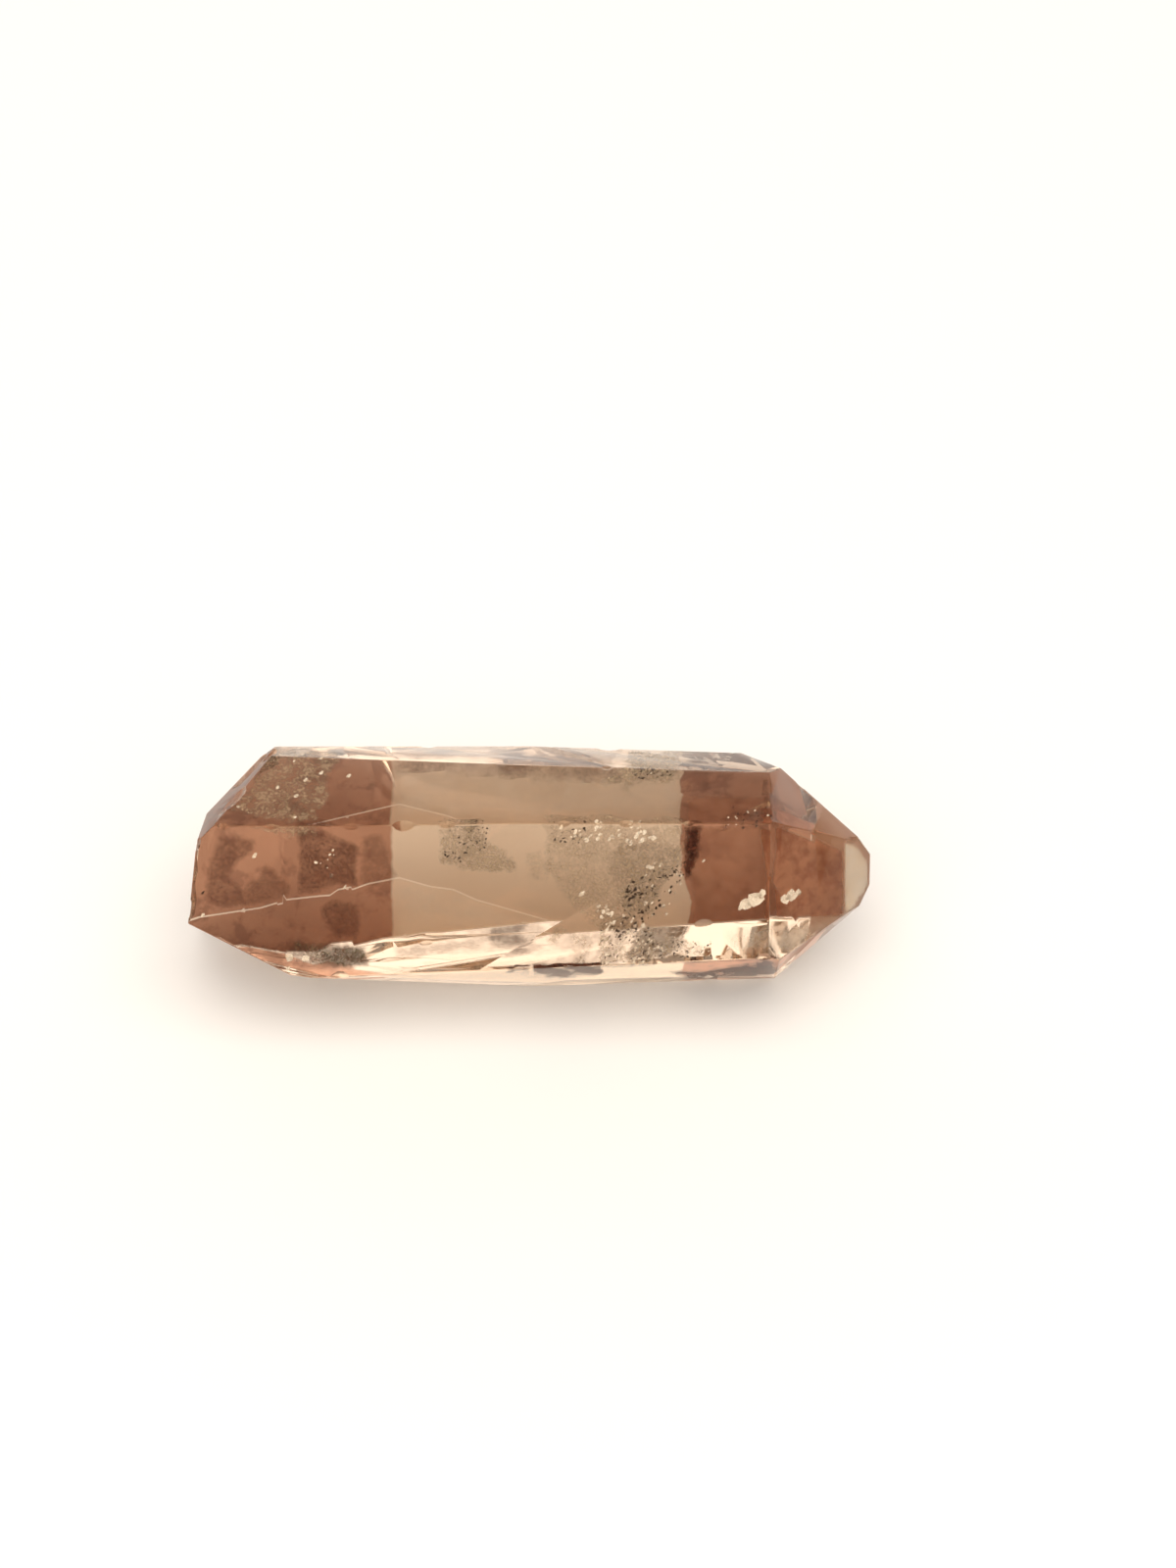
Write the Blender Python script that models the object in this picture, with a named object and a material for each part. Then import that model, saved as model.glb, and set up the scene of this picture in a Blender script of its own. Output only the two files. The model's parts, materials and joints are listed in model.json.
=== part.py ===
# Smoky quartz crystal, lying on one of its prism faces with its point towards +X.
#
# The crystal is one natural solid. It starts as a block, and every face of the real crystal is
# a plane that takes off what lies outside it. Then its edges are worn round, and the shell-like
# breaks of the blunt end, the chips along its ridges and a few pits are cut out of it.
#
# Named sizes below are in millimetres. The c-axis of the crystal runs along X, and X = 0 is
# halfway between the point and the blunt end. An angle round the axis is counted from +Y, the
# far side, towards +Z, the top.

import math
import random

import bmesh
import bpy
from mathutils import Matrix, Vector

MM = 0.001

BLOCK_LENGTH = 90.0
BLOCK_WIDTH = 60.0

# Where the c-axis lies from the middle of the crystal's footprint: along X, along Y, and its
# height over the face that the crystal rests on
AXIS_HEIGHT = 10.25
AXIS_PLACE = (0.03, 0.13, AXIS_HEIGHT)

# Long faces: angle round the axis, lean towards the point in degrees, distance from the axis,
# and the place along X where the face is that far out
PRISM_FACES = {
    "top": (90.0, 0.0, 10.27, 0.0),
    "top_left": (90.0, -0.9, 10.27, -3.0),
    "far_bevel": (60.0, 1.2, 10.81, 0.0),
    "far_upper": (30.0, 2.4, 12.34, 0.0),
    "far_upper_left": (30.0, -1.4, 12.34, 0.0),
    "far_lower": (-30.0, 0.0, 8.68, 0.0),
    "far_lower_left": (-33.3, -9.3, 8.79, -13.5),
    "far_under_left": (-50.1, -5.9, 10.49, 1.9),
    "bottom": (-90.0, 0.0, AXIS_HEIGHT, 0.0),
    "near_foot": (240.0, -8.3, 12.63, 0.0),
    "near_lower": (210.0, 2.2, 11.45, 7.2),
    "near_upper": (150.0, 0.0, 8.9, 0.0),
    "near_upper_left": (150.0, -0.8, 8.9, -17.5),
    "near_upper_end": (150.0, -1.7, 8.81, -24.1),
}

# Each face of a quartz point leans this far from the prism face below it
POINT_LEAN = 38.2

# Faces of the point, given in the same way
POINT_FACES = {
    "top_point": (90.0, POINT_LEAN, 10.27, 24.2),
    "far_upper_point": (30.0, POINT_LEAN, 10.9, 22.3),
    "far_lower_point": (-30.0, POINT_LEAN, 8.68, 25.0),
    "bottom_point": (-90.0, POINT_LEAN, AXIS_HEIGHT, 25.2),
    "near_lower_point": (210.0, POINT_LEAN, 11.45, 24.2),
    "near_upper_point": (150.0, POINT_LEAN, 8.9, 24.0),
    "tip_facet": (150.0, 52.0, 2.6, 32.0),
}

# Faces of the blunt broken end: the way each one looks, and one point of it
END_FACES = {
    "end": ((-0.992, 0.044, 0.119), (-32.8, -4.35, 10.27)),
    "end_top": ((-0.716, 0.371, 0.592), (-26.2, 5.0, 10.27)),
    "end_bottom": ((-0.456, -0.64, -0.62), (-23.5, -6.0, -10.25)),
}

# Worn edges: radius of the wear, and the least bend between two faces that shows any
WEAR_RADIUS = 0.16
WEAR_STEPS = 2
WEAR_LEAST_BEND = 14.0

# Chips on ridges: the two faces of the ridge, place along X, size of the shell, depth
RIDGE_CHIPS = [
    ("top_left", "near_upper_left", -17.6, 1.5, 0.30),
    ("top_left", "near_upper", -12.4, 1.9, 0.42),
    ("top_left", "near_upper", -8.1, 1.6, 0.30),
    ("top_left", "near_upper_end", -25.6, 1.2, 0.22),
    ("top_left", "near_upper_end", -30.4, 1.0, 0.26),
    ("top", "near_upper", 3.5, 1.3, 0.22),
    ("top", "near_upper", 9.7, 1.4, 0.26),
    ("top", "near_upper", 15.9, 1.2, 0.20),
    ("near_upper_left", "near_lower", -19.0, 1.8, 0.34),
    ("near_upper", "near_lower", -4.2, 1.5, 0.26),
    ("near_upper", "near_lower", 12.6, 1.6, 0.30),
    ("top", "far_bevel", 7.8, 1.2, 0.20),
    ("far_bevel", "far_upper", 8.0, 1.9, 0.40),
    ("far_bevel", "far_upper_left", -10.5, 1.5, 0.30),
    ("far_upper", "far_lower", 14.0, 2.2, 0.50),
    ("far_upper", "far_lower", 1.5, 1.6, 0.34),
    ("far_upper_left", "far_lower_left", -21.0, 2.4, 0.55),
    ("far_lower", "bottom", 17.0, 1.8, 0.34),
    ("near_lower", "bottom", 18.5, 1.7, 0.34),
    ("near_lower", "bottom", 10.2, 1.4, 0.26),
    ("near_foot", "bottom", -12.0, 1.8, 0.36),
    ("top_point", "near_upper_point", 28.6, 1.1, 0.18),
    ("top_point", "far_upper_point", 27.4, 1.3, 0.22),
    ("near_upper_point", "near_lower_point", 29.2, 1.2, 0.20),
    ("near_lower_point", "bottom_point", 31.0, 1.0, 0.16),
    ("near_upper", "near_lower", 23.6, 1.5, 0.36),
]

# Chip on the sharp tip: the three faces that meet there, the way it looks, size, depth
TIP_FACES = ("tip_facet", "far_lower_point", "bottom_point")
TIP_CHIP_WAY = (1.0, 0.0, -0.3)
TIP_CHIP_RADIUS = 1.2
TIP_CHIP_DEPTH = 0.30

# Shell-like breaks of the blunt end: a point of the broken face, size of the shell, depth
END_BREAKS = [
    ((-34.2, -3.0, 2.0), 7.5, 0.55),
    ((-33.6, 3.6, 4.6), 5.0, 0.50),
    ((-34.4, 0.6, -4.4), 4.2, 0.45),
    ((-33.9, -7.6, 1.6), 2.6, 0.50),
    ((-33.2, -4.6, 8.4), 2.4, 0.45),
    ((-30.6, 0.4, 10.0), 5.2, 0.50),
    ((-29.6, 8.4, 6.4), 6.0, 0.60),
    ((-26.8, 6.9, 9.3), 2.6, 0.45),
    ((-31.5, -7.3, -4.0), 5.0, 0.50),
    ((-27.0, -7.7, -6.4), 3.4, 0.40),
]

# Pits: how many, their least and largest radius, where along X and how far across a face they
# may lie, and how far out of the face their middle is, as a share of the radius
PIT_COUNT = 14
PIT_LEAST = 0.22
PIT_LARGEST = 0.5
PIT_RANGE = (-31.0, 22.0)
PIT_SPREAD = 4.0
PIT_LIFT = 0.6

# Shells: how finely the ball is divided, and how uneven its skin is, as a share of its radius
SHELL_DETAIL = 3
SHELL_ROUGHNESS = 0.05
SEED = 11

# Colour seen in the middle of the crystal, and the other values of its surface
COLOUR = (0.63, 0.38, 0.25, 1.0)
ROUGHNESS = 0.12
QUARTZ_IOR = 1.544


def outward(angle, lean):
    around = Vector((0.0, math.cos(math.radians(angle)), math.sin(math.radians(angle))))
    along = Vector((1.0, 0.0, 0.0))
    return around * math.cos(math.radians(lean)) + along * math.sin(math.radians(lean))


def planes():
    """Every face of the crystal by name: a point of it and the way it looks."""
    found = {}
    for name, (angle, lean, distance, place) in {**PRISM_FACES, **POINT_FACES}.items():
        point = outward(angle, 0.0) * distance + Vector((place, 0.0, 0.0))
        found[name] = (point, outward(angle, lean))
    for name, (normal, point) in END_FACES.items():
        found[name] = (Vector(point), Vector(normal).normalized())
    return found


def slice_off(bm, point, normal):
    cut = bmesh.ops.bisect_plane(
        bm,
        geom=bm.verts[:] + bm.edges[:] + bm.faces[:],
        dist=1e-7,
        plane_co=point * MM,
        plane_no=normal,
        clear_outer=True,
    )
    rim = [item for item in cut["geom_cut"] if isinstance(item, bmesh.types.BMEdge)]
    if rim:
        bmesh.ops.contextual_create(bm, geom=rim)


def wear_edges(bm):
    least = math.radians(WEAR_LEAST_BEND)
    sharp = [edge for edge in bm.edges if edge.calc_face_angle(0.0) > least]
    bmesh.ops.bevel(
        bm,
        geom=sharp,
        offset=WEAR_RADIUS * MM,
        offset_type="WIDTH",
        segments=WEAR_STEPS,
        profile=0.5,
        affect="EDGES",
        clamp_overlap=True,
    )


def crystal_mesh():
    bm = bmesh.new()
    bmesh.ops.create_cube(bm, size=1.0)
    size = Vector((BLOCK_LENGTH, BLOCK_WIDTH, BLOCK_WIDTH)) * MM
    bmesh.ops.scale(bm, vec=size, verts=bm.verts)
    for point, normal in planes().values():
        slice_off(bm, point, normal)
    wear_edges(bm)
    bmesh.ops.translate(bm, vec=Vector(AXIS_PLACE) * MM, verts=bm.verts)
    bmesh.ops.recalc_face_normals(bm, faces=bm.faces)
    mesh = bpy.data.meshes.new("quartz_crystal")
    bm.to_mesh(mesh)
    bm.free()
    return mesh


def ridge_point(first, second, place):
    """Point of the ridge between two long faces at a place along X."""
    (point_a, normal_a), (point_b, normal_b) = planes()[first], planes()[second]
    across = Matrix(((normal_a.y, normal_a.z), (normal_b.y, normal_b.z)))
    reach = Vector((normal_a.dot(point_a), normal_b.dot(point_b)))
    reach -= Vector((normal_a.x, normal_b.x)) * place
    y, z = across.inverted() @ reach
    return Vector((place, y, z)), (normal_a + normal_b).normalized()


def tip_point():
    """Lower end of the crystal's sharp tip, where three faces of the point meet."""
    corner = [planes()[name] for name in TIP_FACES]
    sides = Matrix([normal for point, normal in corner])
    return sides.inverted() @ Vector([normal.dot(point) for point, normal in corner])


def shell_cutter(name, centre, radius, draw, cutters):
    """A ball with an uneven skin, whose outside leaves a shell-like hollow in what it cuts."""
    bm = bmesh.new()
    bmesh.ops.create_icosphere(bm, subdivisions=SHELL_DETAIL, radius=radius * MM)
    for vert in bm.verts:
        vert.co *= 1.0 + draw.uniform(-SHELL_ROUGHNESS, SHELL_ROUGHNESS)
    mesh = bpy.data.meshes.new(name)
    bm.to_mesh(mesh)
    bm.free()
    cutter = bpy.data.objects.new(name, mesh)
    cutter.location = (centre + Vector(AXIS_PLACE)) * MM
    cutter.rotation_euler = [draw.uniform(0.0, math.tau) for axis in range(3)]
    cutter.hide_render = True
    cutter.display_type = "WIRE"
    cutters.objects.link(cutter)


def nearest_end_normal(point):
    distances = {}
    for name in END_FACES:
        on_face, normal = planes()[name]
        distances[abs(normal.dot(Vector(point) - on_face))] = (on_face, normal)
    return distances[min(distances)]


def cut_ridges(draw, cutters):
    for number, (first, second, place, radius, depth) in enumerate(RIDGE_CHIPS):
        point, out = ridge_point(first, second, place)
        shell_cutter(f"chip_{number}", point + out * (radius - depth), radius, draw, cutters)


def cut_tip(draw, cutters):
    out = Vector(TIP_CHIP_WAY).normalized()
    centre = tip_point() + out * (TIP_CHIP_RADIUS - TIP_CHIP_DEPTH)
    shell_cutter("tip_chip", centre, TIP_CHIP_RADIUS, draw, cutters)


def cut_end(draw, cutters):
    for number, (place, radius, depth) in enumerate(END_BREAKS):
        on_face, out = nearest_end_normal(place)
        point = Vector(place) - out * out.dot(Vector(place) - on_face)
        shell_cutter(f"break_{number}", point + out * (radius - depth), radius, draw, cutters)


def cut_pits(draw, cutters):
    names = list(PRISM_FACES)
    for number in range(PIT_COUNT):
        point, out = planes()[draw.choice(names)]
        across = out.cross(Vector((1.0, 0.0, 0.0))).normalized()
        place = Vector(point) + across * draw.uniform(-PIT_SPREAD, PIT_SPREAD)
        place.x = draw.uniform(*PIT_RANGE)
        place -= out * out.dot(place - point)
        radius = draw.uniform(PIT_LEAST, PIT_LARGEST)
        shell_cutter(f"pit_{number}", place + out * radius * PIT_LIFT, radius, draw, cutters)


def quartz_material():
    material = bpy.data.materials.new("smoky_quartz")
    material.use_nodes = True
    shader = material.node_tree.nodes["Principled BSDF"]
    shader.inputs["Base Color"].default_value = COLOUR
    shader.inputs["Roughness"].default_value = ROUGHNESS
    shader.inputs["Metallic"].default_value = 0.0
    shader.inputs["IOR"].default_value = QUARTZ_IOR
    shader.inputs["Transmission Weight"].default_value = 1.0
    return material


def new_collection(name):
    collection = bpy.data.collections.new(name)
    bpy.context.scene.collection.children.link(collection)
    return collection


def main():
    for item in list(bpy.data.objects):
        bpy.data.objects.remove(item, do_unlink=True)
    model = new_collection("smoky_quartz_crystal")
    cutters = new_collection("cutters")
    crystal = bpy.data.objects.new("quartz_crystal", crystal_mesh())
    model.objects.link(crystal)
    crystal.data.materials.append(quartz_material())
    draw = random.Random(SEED)
    cut_ridges(draw, cutters)
    cut_tip(draw, cutters)
    cut_end(draw, cutters)
    cut_pits(draw, cutters)
    breakage = crystal.modifiers.new("breakage", "BOOLEAN")
    breakage.operation = "DIFFERENCE"
    breakage.operand_type = "COLLECTION"
    breakage.collection = cutters
    breakage.solver = "EXACT"


main()
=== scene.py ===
import json
import math
import random

import bmesh
import bpy
from mathutils import Matrix, Vector, geometry, noise

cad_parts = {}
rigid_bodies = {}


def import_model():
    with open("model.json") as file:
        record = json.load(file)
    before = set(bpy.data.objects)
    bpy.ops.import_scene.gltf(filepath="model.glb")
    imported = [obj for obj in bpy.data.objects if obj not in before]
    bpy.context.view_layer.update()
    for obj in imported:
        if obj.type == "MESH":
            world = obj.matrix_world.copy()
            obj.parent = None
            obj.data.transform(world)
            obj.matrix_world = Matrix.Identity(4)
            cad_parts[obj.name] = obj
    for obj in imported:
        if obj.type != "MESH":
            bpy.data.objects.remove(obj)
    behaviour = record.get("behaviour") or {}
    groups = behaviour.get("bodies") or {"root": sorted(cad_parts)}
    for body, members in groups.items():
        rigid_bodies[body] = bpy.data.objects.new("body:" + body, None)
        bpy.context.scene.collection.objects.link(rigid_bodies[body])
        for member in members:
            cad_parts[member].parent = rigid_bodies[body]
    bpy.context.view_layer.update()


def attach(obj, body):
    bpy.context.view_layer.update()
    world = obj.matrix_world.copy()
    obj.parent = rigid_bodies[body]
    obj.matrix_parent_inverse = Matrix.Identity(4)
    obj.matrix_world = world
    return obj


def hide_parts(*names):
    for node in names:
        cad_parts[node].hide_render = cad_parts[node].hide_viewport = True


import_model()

mm = 0.001
scene = bpy.context.scene


def linearColour(hexCode):  # sRGB hex to the linear values that nodes want
    parts = [int(hexCode[i:i + 2], 16) / 255 for i in (1, 3, 5)]
    linear = [p / 12.92 if p <= 0.04045 else ((p + 0.055) / 1.055) ** 2.4 for p in parts]
    return (*linear, 1.0)


def addNode(tree, kind, settings=None, links=None):  # one node, its settings and what feeds it
    node = tree.nodes.new(kind)
    for name, value in (settings or {}).items():
        if isinstance(name, int) or name in node.inputs:
            node.inputs[name].default_value = value
        else:
            setattr(node, name, value)
    for name, source in (links or {}).items():
        tree.links.new(source, node.inputs[name])
    return node


def newObject(name, mesh):
    made = bpy.data.objects.new(name, mesh)
    scene.collection.objects.link(made)
    return made


# Camera: looks along +Y and 45 degrees down, as in the photo. The picture is 1200 by 1600 and
# a picture point is 0.1 mm at the crystal.
view = {
    "elevation": 45.0,
    "lens": 85.0,            # mm
    "sensor": 36.0,          # mm, along the picture's long side
    "pictureHeight": 160.0,  # mm that the picture's long side takes in at the crystal
    "middleAlong": 5.9,      # mm along X, where the middle of the picture is
    "middleUp": 20.5,        # mm above the crystal's lowest line, as the camera sees it
    "lowestLine": (-7.3, -10.25),  # mm, that line across and below the crystal's axis
}

# The crystal's own lines, the same values as the solid's: mm, and degrees round the long axis
crystal = {
    "axis": (0.03, 0.13, 10.25),
    "longFaces": {           # angle, lean towards the point, distance, place along X
        "top": (90.0, 0.0, 10.27, 0.0),
        "topLeft": (90.0, -0.9, 10.27, -3.0),
        "farBevel": (60.0, 1.2, 10.81, 0.0),
        "farUpper": (30.0, 2.4, 12.34, 0.0),
        "farUpperLeft": (30.0, -1.4, 12.34, 0.0),
        "farLower": (-30.0, 0.0, 8.68, 0.0),
        "farLowerLeft": (-33.3, -9.3, 8.79, -13.5),
        "farUnderLeft": (-50.1, -5.9, 10.49, 1.9),
        "bottom": (-90.0, 0.0, 10.25, 0.0),
        "nearFoot": (240.0, -8.3, 12.63, 0.0),
        "nearLower": (210.0, 2.2, 11.45, 7.2),
        "nearUpper": (150.0, 0.0, 8.9, 0.0),
        "nearUpperLeft": (150.0, -0.8, 8.9, -17.5),
        "nearUpperEnd": (150.0, -1.7, 8.81, -24.1),
        "topPoint": (90.0, 38.2, 10.27, 24.2),
        "farUpperPoint": (30.0, 38.2, 10.9, 22.3),
        "farLowerPoint": (-30.0, 38.2, 8.68, 25.0),
        "bottomPoint": (-90.0, 38.2, 10.25, 25.2),
        "nearLowerPoint": (210.0, 38.2, 11.45, 24.2),
        "nearUpperPoint": (150.0, 38.2, 8.9, 24.0),
        "tipFacet": (150.0, 52.0, 2.6, 32.0),
    },
    "endFaces": {            # the way each one looks, and a point of it
        "end": ((-0.992, 0.044, 0.119), (-32.8, -4.35, 10.27)),
        "endTop": ((-0.716, 0.371, 0.592), (-26.2, 5.0, 10.27)),
        "endBottom": ((-0.456, -0.64, -0.62), (-23.5, -6.0, -10.25)),
    },
    "block": (90.0, 60.0, 60.0),  # mm, what the faces are cut from
    "tinted": ("farLower", "farLowerLeft", "farUnderLeft", "farLowerPoint",  # painted with a reddish brown tint
                "end", "endTop", "endBottom"),
    "frosted": ("tipFacet", "farLowerPoint", "bottomPoint",  # rubbed or etched dull
                "end", "endTop", "endBottom"),
    "wearRadius": 0.16,      # mm, the worn edges
    "wearSteps": 3,
    "wearLeastBend": 14.0,   # degrees, a smaller bend between two faces shows no wear
    "crispEdge": ("nearUpper", "nearUpperPoint"),  # the edge between these two is still sharp
    "sharpBend": 32.0,       # degrees, a larger bend is shaded as an edge
    "onFaceWay": 0.9999,     # least agreement in direction for a polygon to belong to a face
    "onFaceGap": 0.01,       # mm, the most that it may lie off the face
    "ridgeChips": [          # the ridge's two faces, place along X, radius of the shell, depth
        ("topLeft", "nearUpperLeft", -17.6, 1.5, 0.30),
        ("topLeft", "nearUpper", -12.4, 1.9, 0.42),
        ("topLeft", "nearUpper", -8.1, 1.6, 0.30),
        ("topLeft", "nearUpperEnd", -25.6, 1.2, 0.22),
        ("topLeft", "nearUpperEnd", -30.4, 1.0, 0.26),
        ("top", "nearUpper", 3.5, 1.3, 0.22),
        ("top", "nearUpper", 9.7, 1.4, 0.26),
        ("top", "nearUpper", 15.9, 1.2, 0.20),
        ("nearUpperLeft", "nearLower", -19.0, 1.8, 0.34),
        ("nearUpper", "nearLower", -4.2, 1.5, 0.26),
        ("nearUpper", "nearLower", 12.6, 1.6, 0.30),
        ("top", "farBevel", 7.8, 1.2, 0.20),
        ("farBevel", "farUpper", 8.0, 1.9, 0.40),
        ("farBevel", "farUpperLeft", -10.5, 1.5, 0.30),
        ("farUpper", "farLower", 14.0, 2.2, 0.50),
        ("farUpper", "farLower", 1.5, 1.6, 0.34),
        ("farUpperLeft", "farLowerLeft", -21.0, 2.4, 0.55),
        ("farLower", "bottom", 17.0, 1.8, 0.34),
        ("nearLower", "bottom", 18.5, 1.7, 0.34),
        ("nearLower", "bottom", 10.2, 1.4, 0.26),
        ("nearFoot", "bottom", -12.0, 1.8, 0.36),
        ("topPoint", "nearUpperPoint", 28.6, 1.1, 0.18),
        ("topPoint", "farUpperPoint", 27.4, 1.3, 0.22),
        ("nearUpperPoint", "nearLowerPoint", 29.2, 1.2, 0.20),
        ("nearLowerPoint", "bottomPoint", 31.0, 1.0, 0.16),
        ("nearUpper", "nearLower", 23.6, 1.5, 0.36),
    ],
    "endBreaks": [           # face, a point near it, radius of the shell, depth
        ("end", (-34.2, -3.0, 2.0), 7.5, 0.55),
        ("end", (-33.6, 3.6, 4.6), 5.0, 0.50),
        ("end", (-34.4, 0.6, -4.4), 4.2, 0.45),
        ("end", (-33.9, -7.6, 1.6), 2.6, 0.50),
        ("end", (-33.2, -4.6, 8.4), 2.4, 0.45),
        ("endTop", (-30.6, 0.4, 10.0), 5.2, 0.50),
        ("endTop", (-29.6, 8.4, 6.4), 6.0, 0.60),
        ("endTop", (-26.8, 6.9, 9.3), 2.6, 0.45),
        ("endBottom", (-31.5, -7.3, -4.0), 5.0, 0.50),
        ("endBottom", (-27.0, -7.7, -6.4), 3.4, 0.40),
    ],
    "nibbles": 90,           # tiny chips that roughen the ridges
    "nibbleSize": (0.45, 0.95),
    "nibbleDepth": (0.05, 0.13),
    "rippleWidth": 0.9,      # mm from one ripple of a shell-like break to the next
    # how finely each kind's shell is divided, and the height of its bays
    "chipShell": (3, 0.0),
    "breakShell": (4, 0.05),
    "nibbleShell": (2, 0.0),
    "rippleHeight": 0.010,   # ripples, lumps and bays have heights as shares of the shell's radius
    "lumpHeight": 0.06,      # lumps bend the whole shell, bays make a break's outline uneven
    "lumpPitch": 1.7,        # lumps to a radius
    "bayPitch": 7.0,
    "lumpPlace": 9,          # how far into the noise each is taken
    "bayPlace": 5,
    "seed": 11,              # for the nibbles and the way each shell lies
}


def outward(angle, lean):
    a, b = math.radians(angle), math.radians(lean)
    return Vector((math.sin(b), math.cos(a) * math.cos(b), math.sin(a) * math.cos(b)))


def facePlanes():  # every face: a point of it and the way it looks, in mm from the axis
    found = {}
    for name, (angle, lean, distance, place) in crystal["longFaces"].items():
        found[name] = (outward(angle, 0) * distance + Vector((place, 0, 0)), outward(angle, lean))
    for name, (normal, point) in crystal["endFaces"].items():
        found[name] = (Vector(point), Vector(normal).normalized())
    return found


planes = facePlanes()
axis = Vector(crystal["axis"])


def makeCamera():
    lift = math.radians(view["elevation"])
    look = Vector((0, math.cos(lift), -math.sin(lift)))
    up = Vector((0, math.sin(lift), math.cos(lift)))
    across, below = view["lowestLine"]
    lowest = across * math.sin(lift) + below * math.cos(lift)
    centre = axis + Vector((view["middleAlong"], 0, 0)) + up * (view["middleUp"] + lowest)
    data = bpy.data.cameras.new("camera")
    data.lens = view["lens"]
    data.sensor_width = view["sensor"]
    camera = newObject("camera", data)
    distance = view["pictureHeight"] / view["sensor"] * view["lens"]
    camera.location = (centre - look * distance) * mm
    camera.rotation_euler = look.to_track_quat("-Z", "Y").to_euler()
    scene.camera = camera
    return centre, centre - look * distance, up


pictureMiddle, eye, pictureUp = makeCamera()
print("camera set")


def isCrisp(edge):
    crisp = [planes[name][1] for name in crystal["crispEdge"]]
    return all(any(face.normal.dot(way) > crystal["onFaceWay"] for way in crisp) for face in edge.link_faces)


def slicedBlock():  # the crystal with all its faces and worn edges, and where its ridges run
    bm = bmesh.new()
    bmesh.ops.create_cube(bm, size=1.0)
    bmesh.ops.scale(bm, vec=Vector(crystal["block"]) * mm, verts=bm.verts)
    nearly = 0.0001 * mm
    for point, normal in planes.values():
        cut = bmesh.ops.bisect_plane(bm, geom=bm.verts[:] + bm.edges[:] + bm.faces[:], dist=nearly,
                                     plane_co=point * mm, plane_no=normal, clear_outer=True)
        rim = [e for e in cut["geom_cut"] if isinstance(e, bmesh.types.BMEdge)]
        if rim:
            bmesh.ops.contextual_create(bm, geom=rim)
    bent = [e for e in bm.edges if e.calc_face_angle(0) > math.radians(crystal["wearLeastBend"])]
    ridges = [(e.verts[0].co / mm, e.verts[1].co / mm,
               sum((f.normal for f in e.link_faces), Vector()).normalized()) for e in bent]
    bmesh.ops.bevel(bm, geom=[e for e in bent if not isCrisp(e)], offset=crystal["wearRadius"] * mm,
                    offset_type="WIDTH", segments=crystal["wearSteps"], profile=0.5, affect="EDGES",
                    clamp_overlap=True)
    bmesh.ops.translate(bm, vec=axis * mm, verts=bm.verts)
    bmesh.ops.recalc_face_normals(bm, faces=bm.faces)
    mesh = bpy.data.meshes.new("quartz crystal")
    bm.to_mesh(mesh)
    bm.free()
    return mesh, ridges


def shellCutter(centre, radius, shell, draw, cutters):  # a rippled ball, cuts a shell-like hollow
    detail, bayHeight = shell
    bm = bmesh.new()
    bmesh.ops.create_icosphere(bm, subdivisions=detail, radius=radius * mm)
    strike = Vector([draw.gauss(0, 1) for i in range(3)]).normalized()
    rings = math.tau * radius / crystal["rippleWidth"]
    for vert in bm.verts:
        way = vert.co.normalized()
        ripple = math.sin(strike.angle(way) * rings) * crystal["rippleHeight"]
        lump = noise.noise(way * crystal["lumpPitch"] + strike * crystal["lumpPlace"]) * crystal["lumpHeight"]
        bay = noise.noise(way * crystal["bayPitch"] + strike * crystal["bayPlace"]) * bayHeight
        vert.co *= 1 + ripple + (lump + bay)
    mesh = bpy.data.meshes.new("shell")
    bm.to_mesh(mesh)
    bm.free()
    cutter = bpy.data.objects.new("shell", mesh)
    cutter.location = (centre + axis) * mm
    cutters.objects.link(cutter)


def ridgePoint(first, second, place):  # where two long faces meet, and the way out between them
    (pointA, normalA), (pointB, normalB) = planes[first], planes[second]
    across = Matrix(((normalA.y, normalA.z), (normalB.y, normalB.z)))
    reach = Vector((normalA.dot(pointA) - normalA.x * place, normalB.dot(pointB) - normalB.x * place))
    y, z = across.inverted() @ reach
    return Vector((place, y, z)), (normalA + normalB).normalized()


def makeCrystal():
    draw = random.Random(crystal["seed"])
    mesh, ridges = slicedBlock()
    block = newObject("quartz block", mesh)
    cutters = bpy.data.collections.new("cutters")
    for first, second, place, radius, depth in crystal["ridgeChips"]:
        point, out = ridgePoint(first, second, place)
        shellCutter(point + out * (radius - depth), radius, crystal["chipShell"], draw, cutters)
    for face, near, radius, depth in crystal["endBreaks"]:
        onFace, out = planes[face]
        point = Vector(near) - out * out.dot(Vector(near) - onFace)
        shellCutter(point + out * (radius - depth), radius, crystal["breakShell"], draw, cutters)
    for i in range(crystal["nibbles"]):
        start, end, out = draw.choices(ridges, [(b - a).length for a, b, n in ridges])[0]
        radius = draw.uniform(*crystal["nibbleSize"])
        depth = draw.uniform(*crystal["nibbleDepth"])
        point = start.lerp(end, draw.random())
        shellCutter(point + out * (radius - depth), radius, crystal["nibbleShell"], draw, cutters)
    breakage = block.modifiers.new("breakage", "BOOLEAN")
    breakage.operand_type = "COLLECTION"
    breakage.collection = cutters
    breakage.solver = "EXACT"
    worn = bpy.data.meshes.new_from_object(block.evaluated_get(bpy.context.evaluated_depsgraph_get()))
    for item in [block, *cutters.objects]:
        bpy.data.objects.remove(item)
    bpy.data.collections.remove(cutters)
    worn.name = "quartz crystal"
    return newObject("quartz_crystal_skin", worn)


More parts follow.
